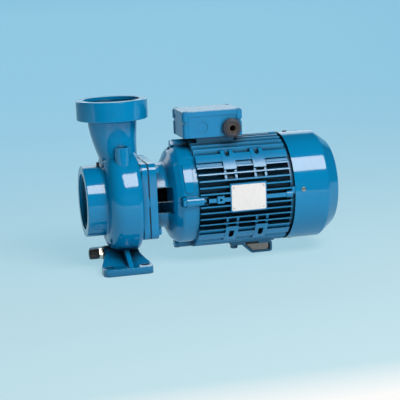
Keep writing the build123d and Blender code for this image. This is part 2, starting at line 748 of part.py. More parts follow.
def motor_foot_web():
    """Two upright plates that close the sides of the bent strap."""
    t = foot_strap + fit_gap
    x0, x1 = strap_start_x, strap_end_x - 5
    outline = Plane.XZ * Polyline(
        (x0 + 31, strap_top - t), (x0 + 43.5, t), (x1 - 3, t), (x1, 8), (x1, strap_top - t),
        close=True)
    plate = extrude(make_face(outline), web_thickness)
    return [Pos(0, -strap_half + web_recess + web_thickness, 0) * plate,
            Pos(0, strap_half - web_recess, 0) * plate]


def motor_foot_screw():
    under = strap_top - foot_strap
    head = Pos(strap_screw_x, 0, under - strap_washer - 8) * extrude(
        RegularPolygon(strap_screw_flats / 2, 6, major_radius=False), 8)
    head += along_z(under - strap_washer, under, 2 * strap_screw_r, strap_screw_x, 0)
    return head + along_z(under, strap_top + 10, strap_screw_r, strap_screw_x, 0)


def nameplate():
    face = -frame_r - plate_seat
    return block(plate_x - plate_width / 2, plate_x + plate_width / 2, face - plate_thickness, face,
                 shaft_height + 2 - plate_height / 2, shaft_height + 2 + plate_height / 2)


def save(shape, name):
    solids = Compound(shape) if isinstance(shape, (list, tuple)) else shape
    solids.label = name
    export_step(solids, os.path.join("parts", name + ".step"))


def main():
    os.makedirs("parts", exist_ok=True)
    priming_plug, gauge_plug = plugs()
    drain_washer, drain_body, drain_knob = drain_valve()
    parts = {
        "pump_casing": pump_casing(),
        "lantern_bracket": lantern_bracket(),
        "flange_screws": flange_screws(),
        "tie_screws": tie_screws(),
        "shaft": shaft(),
        "impeller": impeller(),
        "impeller_nut": impeller_nut(),
        "seal_seat": seal_seat(),
        "seal_head": seal_head(),
        "bearing_drive_end": bearing(bearing_front_x),
        "bearing_fan_end": bearing(frame_rear_x + 1 - bearing_width),
        "priming_plug": priming_plug,
        "gauge_plug": gauge_plug,
        "drain_washer": drain_washer,
        "drain_body": drain_body,
        "drain_knob": drain_knob,
        "motor_frame": motor_frame(),
        "rear_shield": rear_shield(),
        "fan_cover": fan_cover(),
        "fan_guard": fan_guard(),
        "cover_screws": cover_screws(),
        "cooling_fan": cooling_fan(),
        "terminal_box": terminal_box(),
        "box_lid": box_lid(),
        "lid_screws": lid_screws(),
        "cable_gland": cable_gland(),
        "gland_insert": gland_insert(),
        "motor_foot": motor_foot(),
        "motor_foot_web": motor_foot_web(),
        "motor_foot_screw": motor_foot_screw(),
        "nameplate": nameplate(),
    }
    for name, shape in parts.items():
        save(shape, name)


if __name__ == "__main__":
    main()
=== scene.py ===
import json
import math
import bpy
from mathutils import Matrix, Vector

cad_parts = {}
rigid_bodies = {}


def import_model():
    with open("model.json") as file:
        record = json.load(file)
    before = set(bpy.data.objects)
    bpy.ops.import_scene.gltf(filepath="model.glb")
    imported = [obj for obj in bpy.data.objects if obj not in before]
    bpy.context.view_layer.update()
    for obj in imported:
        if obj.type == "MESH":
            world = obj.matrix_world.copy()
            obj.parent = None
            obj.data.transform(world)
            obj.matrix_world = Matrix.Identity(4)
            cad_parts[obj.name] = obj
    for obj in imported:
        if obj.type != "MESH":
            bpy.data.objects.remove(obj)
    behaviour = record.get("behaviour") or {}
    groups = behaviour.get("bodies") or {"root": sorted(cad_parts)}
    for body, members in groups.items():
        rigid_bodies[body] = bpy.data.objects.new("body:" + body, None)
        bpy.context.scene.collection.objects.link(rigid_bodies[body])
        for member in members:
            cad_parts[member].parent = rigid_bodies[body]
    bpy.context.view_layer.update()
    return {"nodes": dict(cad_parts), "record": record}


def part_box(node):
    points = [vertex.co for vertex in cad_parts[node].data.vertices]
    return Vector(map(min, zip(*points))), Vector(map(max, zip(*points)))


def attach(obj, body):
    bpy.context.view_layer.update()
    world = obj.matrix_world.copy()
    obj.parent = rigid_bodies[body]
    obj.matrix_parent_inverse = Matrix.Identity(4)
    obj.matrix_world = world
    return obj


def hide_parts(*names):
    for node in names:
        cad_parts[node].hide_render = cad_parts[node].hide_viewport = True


bl_info = {
    "name": "Pump and Motor Finishing",
    "version": (1, 0, 0),
    "blender": (4, 5, 0),
    "location": "View3D > Sidebar > Pump",
    "description": "Screws, threads, plate, gland, enamel and studio for a close-coupled pump",
    "category": "Object",
}

import bmesh
import bpy
from bpy.props import FloatProperty, FloatVectorProperty, IntProperty, PointerProperty
from mathutils import Matrix, Vector

for start_object in list(bpy.data.objects):
    bpy.data.objects.remove(start_object)
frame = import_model()

MM = 0.001
SHAFT_Z = 0.132
SHAFT_POINT = Vector((0.0, 0.0, SHAFT_Z))
ALONG_SHAFT = Vector((1.0, 0.0, 0.0))


def srgb(code):
    """Turn a hex colour as it is seen into the linear colour a shader wants."""
    values = [int(code[i:i + 2], 16) / 255 for i in (1, 3, 5)]
    return tuple(v / 12.92 if v <= 0.04045 else ((v + 0.055) / 1.055) ** 2.4 for v in values)


# Settings


class PUMP_PG_enamel(bpy.types.PropertyGroup):
    colour: FloatVectorProperty(
        name="Enamel Colour", description="Colour of the blue machine enamel",
        subtype="COLOR", size=3, min=0, max=1, default=srgb("#0079B0"))
    gloss: FloatProperty(
        name="Gloss Roughness", description="Roughness of the enamel's skin",
        subtype="FACTOR", min=0, max=1, default=0.09)
    casting_edge: FloatProperty(
        name="Casting Edge Radius", description="Rounding of edges on the painted castings",
        subtype="DISTANCE", unit="LENGTH", min=0, max=0.005, default=1.4 * MM)
    sheet_edge: FloatProperty(
        name="Sheet Edge Radius", description="Rounding that the paint film gives to thin edges",
        subtype="DISTANCE", unit="LENGTH", min=0, max=0.005, default=0.5 * MM)
    # reach of the painted shade that darkens the enamel in gaps and openings
    painted_shade_reach: FloatProperty(
        name="Painted Shade Reach", description="Depth of the gaps that are darkened with painted shade",
        subtype="DISTANCE", unit="LENGTH", min=0, max=0.2, default=40 * MM)
    sand_grain: FloatProperty(
        name="Sand Grain", description="Spacing of the moulding sand's print on a casting",
        subtype="DISTANCE", unit="LENGTH", min=0.0002, max=0.01, default=2.2 * MM)


class PUMP_PG_fasteners(bpy.types.PropertyGroup):
    across_flats: FloatProperty(
        name="Across Flats", description="Width of the M10 hexagon heads",
        subtype="DISTANCE", unit="LENGTH", min=0.01, max=0.03, default=17 * MM)
    head_height: FloatProperty(
        name="Head Height", description="Height of the M10 hexagon heads",
        subtype="DISTANCE", unit="LENGTH", min=0.003, max=0.01, default=6.4 * MM)
    washer_thickness: FloatProperty(
        name="Washer Thickness", description="Thickness of the plain washers",
        subtype="DISTANCE", unit="LENGTH", min=0.0005, max=0.004, default=2.0 * MM)
    zinc: FloatVectorProperty(
        name="Zinc Colour", description="Colour of the bright zinc plating",
        subtype="COLOR", size=3, min=0, max=1, default=srgb("#C9CCCB"))


class PUMP_PG_ports(bpy.types.PropertyGroup):
    thread_pitch: FloatProperty(
        name="Thread Pitch", description="Pitch of the pipe thread in both ports",
        subtype="DISTANCE", unit="LENGTH", min=0.001, max=0.005, default=2.309 * MM)
    thread_depth: FloatProperty(
        name="Thread Depth", description="Depth of the pipe thread",
        subtype="DISTANCE", unit="LENGTH", min=0.0005, max=0.003, default=1.479 * MM)
    steps: IntProperty(
        name="Steps per Turn", description="Steps that make up one turn of the thread",
        min=16, max=128, default=72)


class PUMP_PG_plate(bpy.types.PropertyGroup):
    border: FloatProperty(
        name="Border", description="Distance of the pressed border line from the plate's edge",
        subtype="DISTANCE", unit="LENGTH", min=0.001, max=0.01, default=1.5 * MM)
    rivet_radius: FloatProperty(
        name="Rivet Radius", description="Radius of the four drive rivets' heads",
        subtype="DISTANCE", unit="LENGTH", min=0.0005, max=0.004, default=1.7 * MM)
    colour: FloatVectorProperty(
        name="Plate Colour", description="Colour of the satin aluminium plate",
        subtype="COLOR", size=3, min=0, max=1, default=srgb("#D6D9DE"))


class PUMP_PG_stage(bpy.types.PropertyGroup):
    floor: FloatVectorProperty(
        name="Floor Colour", description="Colour of the pale studio sweep near the camera",
        subtype="COLOR", size=3, min=0, max=1, default=srgb("#B8E0EC"))
    distance: FloatVectorProperty(
        name="Distance Colour", description="Colour of the sweep far behind the pump",
        subtype="COLOR", size=3, min=0, max=1, default=srgb("#82CBEC"))
    paper: FloatProperty(
        name="Shadow Share", description="How much of the lit paper, with its shadow, is seen",
        subtype="FACTOR", min=0, max=1, default=0.22)
    softbox: FloatProperty(
        name="Softbox Power", description="Power of the softbox in front of the pump",
        unit="POWER", min=0, max=500, default=40)
    fill: FloatProperty(
        name="Fill Power", description="Power of the low, broad fill light in front",
        unit="POWER", min=0, max=500, default=42)
    backdrop: FloatProperty(
        name="Back Softbox Power", description="Power of the softbox behind and above the pump",
        unit="POWER", min=0, max=500, default=16)
    lens: FloatProperty(
        name="Lens", description="Focal length of the camera for a 36 mm sensor",
        min=20, max=300, default=104.479)


# Mesh helpers


def along(direction):
    """Turn that lays a mesh built along +Z along another direction."""
    return Vector(direction).to_track_quat("Z", "Y").to_matrix().to_4x4()


def spun(bm, profile, centre, direction, steps=64):
    """Turn a line of (distance along the axis, radius) points, in mm, about an axis."""
    turn = Matrix.Translation(centre) @ along(direction)
    points = [bm.verts.new(turn @ Vector((r * MM, 0, a * MM))) for a, r in profile]
    lines = [bm.edges.new(pair) for pair in zip(points, points[1:])]
    bmesh.ops.spin(
        bm, geom=points + lines, cent=centre, axis=Vector(direction), angle=2 * math.pi,
        steps=steps, use_merge=True, use_duplicate=False)


def hexagon_head(bm, centre, direction, across_flats, height, turn=0.0, chamfer=0.95):
    """Hexagon head standing on a face, its corners turned down at 30 degrees."""
    place = Matrix.Translation(centre) @ along(direction) @ Matrix.Rotation(turn, 4, "Z")
    flat = across_flats / 2
    ring = bmesh.ops.create_circle(bm, cap_ends=False, segments=48, radius=1.0)["verts"]
    reach = {}
    for v in ring:
        angle = math.atan2(v.co.y, v.co.x)
        r = flat / math.cos((angle % (math.pi / 3)) - math.pi / 6)
        v.co = Vector((r * math.cos(angle), r * math.sin(angle), 0.0))
    edges = list({e for v in ring for e in v.link_edges})
    bottom = bmesh.ops.contextual_create(bm, geom=edges)["faces"]
    side = bmesh.ops.extrude_edge_only(bm, edges=edges)["geom"]
    upper = [g for g in side if isinstance(g, bmesh.types.BMVert)]
    for v in upper:
        r = v.co.length
        v.co.z = height - (r - chamfer * flat) * math.tan(math.radians(30))
    edges = [g for g in side if isinstance(g, bmesh.types.BMEdge)
             and all(v in upper for v in g.verts)]
    crown = bmesh.ops.extrude_edge_only(bm, edges=edges)["geom"]
    top = [g for g in crown if isinstance(g, bmesh.types.BMVert)]
    for v in top:
        flat_part = Vector((v.co.x, v.co.y, 0.0)).normalized() * chamfer * flat
        v.co = Vector((flat_part.x, flat_part.y, height))
    edges = [g for g in crown if isinstance(g, bmesh.types.BMEdge)
             and all(v in top for v in g.verts)]
    bmesh.ops.contextual_create(bm, geom=edges)
    made = set(ring) | set(upper) | set(top)
    bmesh.ops.transform(bm, matrix=place, verts=list(made))
    return made


def cross_recess_head(bm, centre, direction, radius, height, turn=0.3):
    """Pan head with a cross-shaped driver recess, standing on a face."""
    place = Matrix.Translation(centre) @ along(direction) @ Matrix.Rotation(turn, 4, "Z")
    verts = bmesh.ops.create_circle(bm, cap_ends=True, segments=32, radius=radius)["verts"]
    face = list({f for v in verts for f in v.link_faces})
    raised = bmesh.ops.extrude_face_region(bm, geom=face)["geom"]
    top = [g for g in raised if isinstance(g, bmesh.types.BMVert)]
    bmesh.ops.translate(bm, vec=(0, 0, height * 0.55), verts=top)
    face = [g for g in raised if isinstance(g, bmesh.types.BMFace)]
    made = set(verts) | set(top)
    for scale, rise in ((0.86, 0.3), (0.62, 0.15)):
        more = bmesh.ops.extrude_face_region(bm, geom=face)["geom"]
        bmesh.ops.delete(bm, geom=face, context="FACES_ONLY")
        face = [g for g in more if isinstance(g, bmesh.types.BMFace)]
        top = [g for g in more if isinstance(g, bmesh.types.BMVert)]
        ratio = scale / (0.86 if scale < 0.7 else 1.0)
        bmesh.ops.scale(bm, vec=(ratio, ratio, 1), verts=top)
        bmesh.ops.translate(bm, vec=(0, 0, height * rise), verts=top)
        made |= set(top)
    recess = bmesh.ops.extrude_face_region(bm, geom=face)["geom"]
    bmesh.ops.delete(bm, geom=face, context="FACES_ONLY")
    rim = [g for g in recess if isinstance(g, bmesh.types.BMVert)]
    for v in rim:
        angle = math.atan2(v.co.y, v.co.x)
        lobe = 0.2 + 0.75 * abs(math.cos(2 * angle)) ** 3
        v.co.x, v.co.y = (math.cos(angle) * radius * 0.58 * lobe,
                          math.sin(angle) * radius * 0.58 * lobe)
    face = [g for g in recess if isinstance(g, bmesh.types.BMFace)]
    made |= set(rim)
    deep = bmesh.ops.extrude_face_region(bm, geom=face)["geom"]
    bmesh.ops.delete(bm, geom=face, context="FACES_ONLY")
    floor = [g for g in deep if isinstance(g, bmesh.types.BMVert)]
    bmesh.ops.translate(bm, vec=(0, 0, -height * 0.6), verts=floor)
    bmesh.ops.scale(bm, vec=(0.7, 0.7, 1), verts=floor)
    made |= set(floor)
    bmesh.ops.transform(bm, matrix=place, verts=[v for v in made if v.is_valid])


def shaft_angle(degrees, radius):
    """Point at an angle round the shaft, 0 pointing up and 90 to the near side, in mm."""
    a = math.radians(degrees)
    return Vector((0.0, -math.sin(a) * radius * MM, SHAFT_Z + math.cos(a) * radius * MM))


def outward(degrees):
    a = math.radians(degrees)
    return Vector((0.0, -math.sin(a), math.cos(a)))


def placed(bm, name, material, body, stands_for=(), smooth=30.0):
    """Close a mesh, give it its finish and hang it on its body."""
    bmesh.ops.remove_doubles(bm, verts=bm.verts, dist=1e-6)
    bmesh.ops.recalc_face_normals(bm, faces=bm.faces)
    mesh = bpy.data.meshes.new(name)
    bm.to_mesh(mesh)
    bm.free()
    piece = bpy.data.objects.new(name, mesh)
    bpy.context.scene.collection.objects.link(piece)
    mesh.shade_smooth()
    mesh.set_sharp_from_angle(angle=math.radians(smooth))
    mesh.materials.append(material)
    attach(piece, body)
    if stands_for:
        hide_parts(*stands_for)
    return piece


# Finishes


def add(tree, kind, settings=None, **links):
    """Add a shader node, set its sockets or properties, and join its inputs."""
    made = tree.nodes.new(kind)
    for key, value in (settings or {}).items():
        if key in made.inputs:
            made.inputs[key].default_value = value
        else:
            setattr(made, key, value)
    for key, source in links.items():
        tree.links.new(source, made.inputs[key.replace("_", " ")])
    return made


def surface(name):
    """New material holding only its output, with the tree that will feed it."""
    material = bpy.data.materials.new(name)
    material.use_nodes = True
    tree = material.node_tree
    tree.nodes.clear()
    return material, tree, add(tree, "ShaderNodeOutputMaterial")


def mottled(tree, place, colour, spread, size):
    """Base colour that wanders a little lighter and darker over patches of a size in metres."""
    cloud = add(tree, "ShaderNodeTexNoise", {"Scale": 1 / size, "Detail": 3.0}, Vector=place)
    darker = tuple(c * (1 - spread) for c in colour) + (1.0,)
    lighter = tuple(min(1.0, c * (1 + spread)) for c in colour) + (1.0,)
    ramp = add(tree, "ShaderNodeValToRGB", {}, Fac=cloud.outputs["Fac"])
    ramp.color_ramp.elements[0].position = 0.3
    ramp.color_ramp.elements[0].color = darker
    ramp.color_ramp.elements[1].position = 0.7
    ramp.color_ramp.elements[1].color = lighter
    return ramp.outputs["Color"]


def machine_enamel(name, grain, depth, edge, wave, dull=0.0, spread=0.05):
    """Blue synthetic enamel sprayed thick: a glossy skin that rounds every edge.

    grain and depth are the spacing and height of what lies under the paint, in metres: the
    print of moulding sand on a casting, or the faint orange peel of a sprayed sheet. edge is
    the rounding of its edges and wave the height of the slow unevenness over some 20 mm. dull
    is added to the roughness where the paint sits thin on a grainy metal.
    Between fins and inside openings an ambient-occlusion mask darkens the colour as painted
    shade, and raises the roughness.
    """
    settings = bpy.context.scene.pump_enamel
    material, tree, out = surface(name)
    place = add(tree, "ShaderNodeTexCoord").outputs["Object"]
    colour = mottled(tree, place, tuple(settings.colour), spread, 0.045)
    rounded = add(tree, "ShaderNodeBevel", {"samples": 4, "Radius": edge})
    # painted shade: ambient occlusion darkens the enamel's colour down to 6 % in gaps and
    # openings, and makes it rougher there
    openness = add(tree, "ShaderNodeAmbientOcclusion",
                   {"samples": 8, "Distance": settings.painted_shade_reach})
    painted_shade_factor = add(tree, "ShaderNodeMapRange",
               {"From Min": 0.3, "From Max": 0.72, "To Min": 0.06, "To Max": 1.0},
               Value=openness.outputs["AO"])
    shaded_colour = add(tree, "ShaderNodeVectorMath", {"operation": "SCALE"}, Vector=colour,
                  Scale=painted_shade_factor.outputs["Result"])
    shine = add(tree, "ShaderNodeMapRange", {"To Min": 0.6, "To Max": settings.gloss + dull},
                Value=painted_shade_factor.outputs["Result"])
    print_of_sand = add(tree, "ShaderNodeTexNoise",
                        {"Scale": 1 / grain, "Detail": 2.0, "Roughness": 0.6}, Vector=place)
    waves = add(tree, "ShaderNodeTexNoise", {"Scale": 1 / 0.022, "Detail": 1.0}, Vector=place)
    skin = add(tree, "ShaderNodeBump", {"Strength": 0.35, "Distance": depth},
               Height=print_of_sand.outputs["Fac"], Normal=rounded.outputs["Normal"])
    flow = add(tree, "ShaderNodeBump", {"Strength": 0.5, "Distance": wave},
               Height=waves.outputs["Fac"], Normal=skin.outputs["Normal"])
    paint = add(tree, "ShaderNodeBsdfPrincipled", {"IOR": 1.58},
                Base_Color=shaded_colour.outputs["Vector"], Roughness=shine.outputs["Result"],
                Normal=flow.outputs["Normal"])
    tree.links.new(paint.outputs["BSDF"], out.inputs["Surface"])
    return material


def metal(name, colour, roughness, spread, grain, lines=None, depth=0.02 * MM):
    """Bare or plated metal. lines turns the grain into rings or strokes left by a tool."""
    material, tree, out = surface(name)
    place = add(tree, "ShaderNodeTexCoord").outputs["Object"]
    stretch = add(tree, "ShaderNodeMapping", {"Scale": lines or (1.0, 1.0, 1.0)}, Vector=place)
    mark = add(tree, "ShaderNodeTexNoise",
               {"Scale": 1 / grain, "Detail": 4.0, "Roughness": 0.6},
               Vector=stretch.outputs["Vector"])
    rough = add(tree, "ShaderNodeMapRange",
                {"From Min": 0.3, "From Max": 0.7, "To Min": max(0.05, roughness - 0.09),
                 "To Max": roughness + 0.1}, Value=mark.outputs["Fac"])
    rounded = add(tree, "ShaderNodeBevel", {"samples": 4, "Radius": 0.35 * MM})
    relief = add(tree, "ShaderNodeBump", {"Strength": 0.4, "Distance": depth},
                 Height=mark.outputs["Fac"], Normal=rounded.outputs["Normal"])
    shade = mottled(tree, place, colour, spread, 0.012)
    body = add(tree, "ShaderNodeBsdfPrincipled", {"Metallic": 1.0}, Base_Color=shade,
               Roughness=rough.outputs["Result"], Normal=relief.outputs["Normal"])
    tree.links.new(body.outputs["BSDF"], out.inputs["Surface"])
    return material


def moulded(name, colour, roughness, ior, grain, depth, spread=0.1):
    """Moulded plastic or rubber with the fine texture of its tool."""
    material, tree, out = surface(name)
    place = add(tree, "ShaderNodeTexCoord").outputs["Object"]
    etch = add(tree, "ShaderNodeTexVoronoi", {"Scale": 1 / grain}, Vector=place)
    rounded = add(tree, "ShaderNodeBevel", {"samples": 4, "Radius": 0.4 * MM})
    relief = add(tree, "ShaderNodeBump", {"Strength": 0.3, "Distance": depth},
                 Height=etch.outputs["Distance"], Normal=rounded.outputs["Normal"])
    shade = mottled(tree, place, colour, spread, 0.008)
    body = add(tree, "ShaderNodeBsdfPrincipled", {"Roughness": roughness, "IOR": ior},
               Base_Color=shade, Normal=relief.outputs["Normal"])
    tree.links.new(body.outputs["BSDF"], out.inputs["Surface"])
    return material


FINISHES = {}


def finish(name):
    """The material of that name, made when it is first asked for."""
    if name in FINISHES:
        return FINISHES[name]
    screws = bpy.context.scene.pump_fasteners
    enamel = bpy.context.scene.pump_enamel
    if name == "enamel_on_grey_iron":
        # sand-cast iron under thick paint: a soft pebbly sheen, broken highlights
        made = machine_enamel(name, enamel.sand_grain, 0.06 * MM, enamel.casting_edge,
                              0.25 * MM)
    elif name == "enamel_on_diecast_frame":
        # pressure die-cast aluminium under the same paint: a smoother skin than sand leaves
        made = machine_enamel(name, 3.5 * MM, 0.03 * MM, enamel.sheet_edge, 0.12 * MM, 0.17)
    elif name == "enamel_on_pressed_sheet":
        # deep-drawn steel under the same paint: mirror-like, with faint orange peel
        made = machine_enamel(name, 2.6 * MM, 0.012 * MM, enamel.sheet_edge, 0.04 * MM)
    elif name == "zinc_plated_steel":
        # bright zinc on steel: pale, slightly cloudy metal
        made = metal(name, tuple(screws.zinc), 0.3, 0.08, 1.2 * MM)
    elif name == "turned_shaft_steel":
        # lathe-turned steel: fine rings round the shaft, drawn 0.5 mm apart to show
        made = metal(name, srgb("#B4B6B8"), 0.3, 0.06, 0.5 * MM, (1.0, 0.02, 0.02))
    elif name == "shaft_steel_dark_as_shade":
        # turned steel coloured brown-black as painted shade for the dim inside of the bracket's
        # window, with dull streaks
        made = metal(name, srgb("#2A2422"), 0.62, 0.1, 0.5 * MM, (1.0, 0.02, 0.02))
    elif name == "cast_grey_iron":
        # bare iron casting: dark, rough and grainy
        made = metal(name, srgb("#5E6062"), 0.55, 0.15, 1.5 * MM, None, 0.12 * MM)
    elif name == "sintered_ceramic":
        # pressed and fired seal ring: off-white, satin
        made = moulded(name, srgb("#DAD7CE"), 0.35, 1.75, 0.8 * MM, 0.004 * MM, 0.03)
    elif name == "nitrile_rubber":
        # moulded black rubber: matt, very even
        made = moulded(name, srgb("#1D1E1F"), 0.75, 1.52, 0.9 * MM, 0.02 * MM)
    elif name == "black_polyamide":
        # glass-filled nylon knob and plugs: dark with a low sheen
        made = moulded(name, srgb("#202124"), 0.38, 1.53, 0.7 * MM, 0.015 * MM)
    elif name == "gland_polyamide":
        # nylon gland: very dark grey with a warm low sheen
        made = moulded(name, srgb("#40444F"), 0.34, 1.53, 0.7 * MM, 0.015 * MM)
    elif name == "gland_seal_rubber":
        # soft seal in the gland: dark grey-brown, matt
        made = moulded(name, srgb("#4A443F"), 0.6, 1.52, 0.9 * MM, 0.02 * MM)
    elif name == "nickel_plated_brass":
        # plated brass: bright with a faintly warm tone
        made = metal(name, srgb("#D3CCBF"), 0.16, 0.05, 1.0 * MM)
    elif name == "grey_zinc_primer":
        # folded sheet left in its grey primer: flat, slightly chalky
        made = moulded(name, srgb("#8A8E8E"), 0.62, 1.5, 1.1 * MM, 0.01 * MM, 0.06)
    elif name == "fan_polypropylene":
        # moulded fan: near black, waxy
        made = moulded(name, srgb("#1B1C1E"), 0.45, 1.49, 1.0 * MM, 0.02 * MM)
    elif name == "satin_anodised_aluminium":
        # rolled and anodised sheet: strokes along its length, drawn 0.4 mm apart to show
        made = moulded(name, tuple(bpy.context.scene.pump_plate.colour), 0.4, 1.6,
                       0.4 * MM, 0.003 * MM, 0.03)
    elif name == "gasket_fibre_dark_as_shade":
        # pressed fibre gasket, matt; its dark grey is partly painted shade for the gap between
        # the flanges
        made = moulded(name, srgb("#23262A"), 0.85, 1.5, 0.8 * MM, 0.03 * MM)
    else:
        raise ValueError("no finish is named " + name)
    FINISHES[name] = made
    return made


CAD_FINISHES = {
    "pump_casing": "enamel_on_grey_iron",
    "lantern_bracket": "enamel_on_grey_iron",
    "shaft": "shaft_steel_dark_as_shade",
    "impeller": "cast_grey_iron",
    "impeller_nut": "zinc_plated_steel",
    "seal_seat": "sintered_ceramic",
    "seal_head": "nitrile_rubber",
    "bearing_drive_end": "turned_shaft_steel",
    "bearing_fan_end": "turned_shaft_steel",
    "priming_plug": "black_polyamide",
    "gauge_plug": "black_polyamide",
    "drain_washer": "nitrile_rubber",
    "drain_body": "nickel_plated_brass",
    "drain_knob": "black_polyamide",
    "motor_frame": "enamel_on_diecast_frame",
    "rear_shield": "enamel_on_diecast_frame",
    "fan_cover": "enamel_on_pressed_sheet",
    "fan_guard": "enamel_on_pressed_sheet",
    "cooling_fan": "fan_polypropylene",
    "terminal_box": "enamel_on_diecast_frame",
    "box_lid": "enamel_on_diecast_frame",
    "cable_gland": "gland_polyamide",
    "gland_insert": "gland_seal_rubber",
    "motor_foot": "enamel_on_pressed_sheet",
    "motor_foot_web": "grey_zinc_primer",
    "motor_foot_screw": "enamel_on_pressed_sheet",
    "nameplate": "satin_anodised_aluminium",
    "flange_screws": "enamel_on_pressed_sheet",
    "tie_screws": "enamel_on_pressed_sheet",
    "cover_screws": "zinc_plated_steel",
    "lid_screws": "zinc_plated_steel",
}


class PUMP_OT_paint_nodes(bpy.types.Operator):
    """Give every constructed node the finish of its real material"""

    bl_idname = "pump.paint_nodes"
    bl_label = "Paint Constructed Nodes"

    def execute(self, context):
        for name, obj in frame["nodes"].items():
            material = finish(CAD_FINISHES[name])
            for slot in obj.material_slots:
                slot.material = material
        return {"FINISHED"}


# Pieces


class PUMP_OT_port_threads(bpy.types.Operator):
    """Turn the pipe thread in the suction and discharge ports"""

    bl_idname = "pump.port_threads"
    bl_label = "Port Threads"

    def execute(self, context):
        settings = context.scene.pump_ports
        pitch, depth, steps = settings.thread_pitch, settings.thread_depth, settings.steps
        ports = {mount["name"]: mount for mount in frame["record"]["mounts"]}
        for name in ("suction_port", "discharge_port"):
            port = ports[name]
            axis = Vector(port["axis"])
            mouth = Vector(port["pos_m"])
            wall = port["dims"]["r_mm"] * MM
            turns = int((port["dims"]["length_mm"] * MM - 3 * pitch) / pitch)
            bm = bmesh.new()
            place = Matrix.Translation(mouth - axis * 1.2 * pitch) @ along(axis)
            profile = ((0.0, 0.0), (-0.44, -1.0), (-0.56, -1.0), (-1.0, 0.0))
            points = [bm.verts.new(place @ Vector((wall + depth * r, 0, pitch * a)))
                      for a, r in profile]
            lines = [bm.edges.new(pair) for pair in zip(points, points[1:])]
            bmesh.ops.spin(
                bm, geom=points + lines, cent=mouth, axis=axis, dvec=-axis * pitch / steps,
                angle=2 * math.pi * turns, steps=steps * turns, use_merge=False,
                use_duplicate=False)
            placed(bm, name + "_thread", finish("enamel_on_grey_iron"), "root")
        return {"FINISHED"}


class PUMP_OT_flange_screws(bpy.types.Operator):
    """Four hexagon screws that hold the bracket to the pump casing"""

    bl_idname = "pump.flange_screws"
    bl_label = "Flange Screws"

    def execute(self, context):
        s = context.scene.pump_fasteners
        bm = bmesh.new()
        for k, degrees in enumerate((45, 135, 225, 315)):
            at = shaft_angle(degrees, 84.0) + Vector((68.0 * MM, 0, 0))
            hexagon_head(bm, at, ALONG_SHAFT, s.across_flats, s.head_height, 0.2 + 0.5 * k)
            spun(bm, [(-31, 0), (-31, 4.4), (-30.5, 4.9), (0.0, 4.9), (0.0, 0)], at,
                 ALONG_SHAFT, 24)
        placed(bm, "flange_screws_hexagon", finish("enamel_on_pressed_sheet"), "root",
               ["flange_screws"])
        return {"FINISHED"}


class PUMP_OT_tie_screws(bpy.types.Operator):
    """Four hexagon screws with washers that tie the bracket to the motor frame"""

    bl_idname = "pump.tie_screws"
    bl_label = "Tie Screws"

    def execute(self, context):
        s = context.scene.pump_fasteners
        bm = bmesh.new()
        for k, degrees in enumerate((0, 90, 180, 270)):
            at = shaft_angle(degrees, 100.5) + Vector((120.0 * MM, 0, 0))
            washer = s.washer_thickness / MM
            spun(bm, [(0, 5.2), (0, 10.2), (0.25, 10.5), (washer - 0.25, 10.5),
                      (washer, 10.2), (washer, 5.2), (0, 5.2)], at, -ALONG_SHAFT, 48)
            seat = at - ALONG_SHAFT * s.washer_thickness
            hexagon_head(bm, seat, -ALONG_SHAFT, s.across_flats, s.head_height, 0.05 + 0.4 * k)
            spun(bm, [(-38, 0), (-38, 4.4), (-37.5, 4.9), (washer, 4.9)], at,
                 -ALONG_SHAFT, 24)
        placed(bm, "tie_screws_hexagon", finish("enamel_on_pressed_sheet"), "root",
               ["tie_screws"])
        return {"FINISHED"}


class PUMP_OT_foot_screw(bpy.types.Operator):
    """Hexagon screw with its washer that holds the support foot"""

    bl_idname = "pump.foot_screw"
    bl_label = "Support Foot Screw"

    def execute(self, context):
        low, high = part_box("motor_foot_screw")
        down = Vector((0, 0, -1))
        at = Vector(((low.x + high.x) / 2, 0.0, high.z - 14.5 * MM))
        bm = bmesh.new()
        spun(bm, [(0, 4.1), (0, 7.8), (0.2, 8.0), (1.4, 8.0), (1.6, 7.8), (1.6, 4.1),
                  (0, 4.1)], at, down, 40)
        height = at.z - 1.6 * MM - low.z
        hexagon_head(bm, at + down * 1.6 * MM, down, 13.0 * MM, height, 0.3)
        spun(bm, [(-14.5, 0), (-14.5, 3.5), (-14.0, 4.0), (1.6, 4.0)], at, down, 24)
        placed(bm, "foot_screw_hexagon", finish("enamel_on_pressed_sheet"), "root",
               ["motor_foot_screw"])
        return {"FINISHED"}


class PUMP_OT_small_screws(bpy.types.Operator):
    """Cross-recess screws of the fan cover and of the terminal box lid"""

    bl_idname = "pump.small_screws"
    bl_label = "Cover and Lid Screws"

    def execute(self, context):
        bm = bmesh.new()
        for degrees in (-4, 86, 176, 266):
            at = shaft_angle(degrees, 109.2) + Vector((354.0 * MM, 0, 0))
            cross_recess_head(bm, at, outward(degrees), 4.6 * MM, 2.6 * MM, 0.6)
            spun(bm, [(-12, 0), (-12, 1.7), (-11.7, 2.0), (0, 2.0)], at, outward(degrees), 16)
        placed(bm, "cover_screws_pan", finish("zinc_plated_steel"), "root",
               ["cover_screws"])
        low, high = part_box("lid_screws")
        bm = bmesh.new()
        for x in (low.x + 4 * MM, high.x - 4 * MM):
            for y in (low.y + 4 * MM, high.y - 4 * MM):
                at = Vector((x, y, high.z - 3.2 * MM))
                cross_recess_head(bm, at, (0, 0, 1), 4.0 * MM, 2.6 * MM, x * 40 + y * 9)
                spun(bm, [(-32, 0), (-32, 1.7), (-31.7, 2.0), (0, 2.0)], at, (0, 0, 1), 16)
        placed(bm, "lid_screws_pan", finish("zinc_plated_steel"), "root",
               ["lid_screws"])
        return {"FINISHED"}


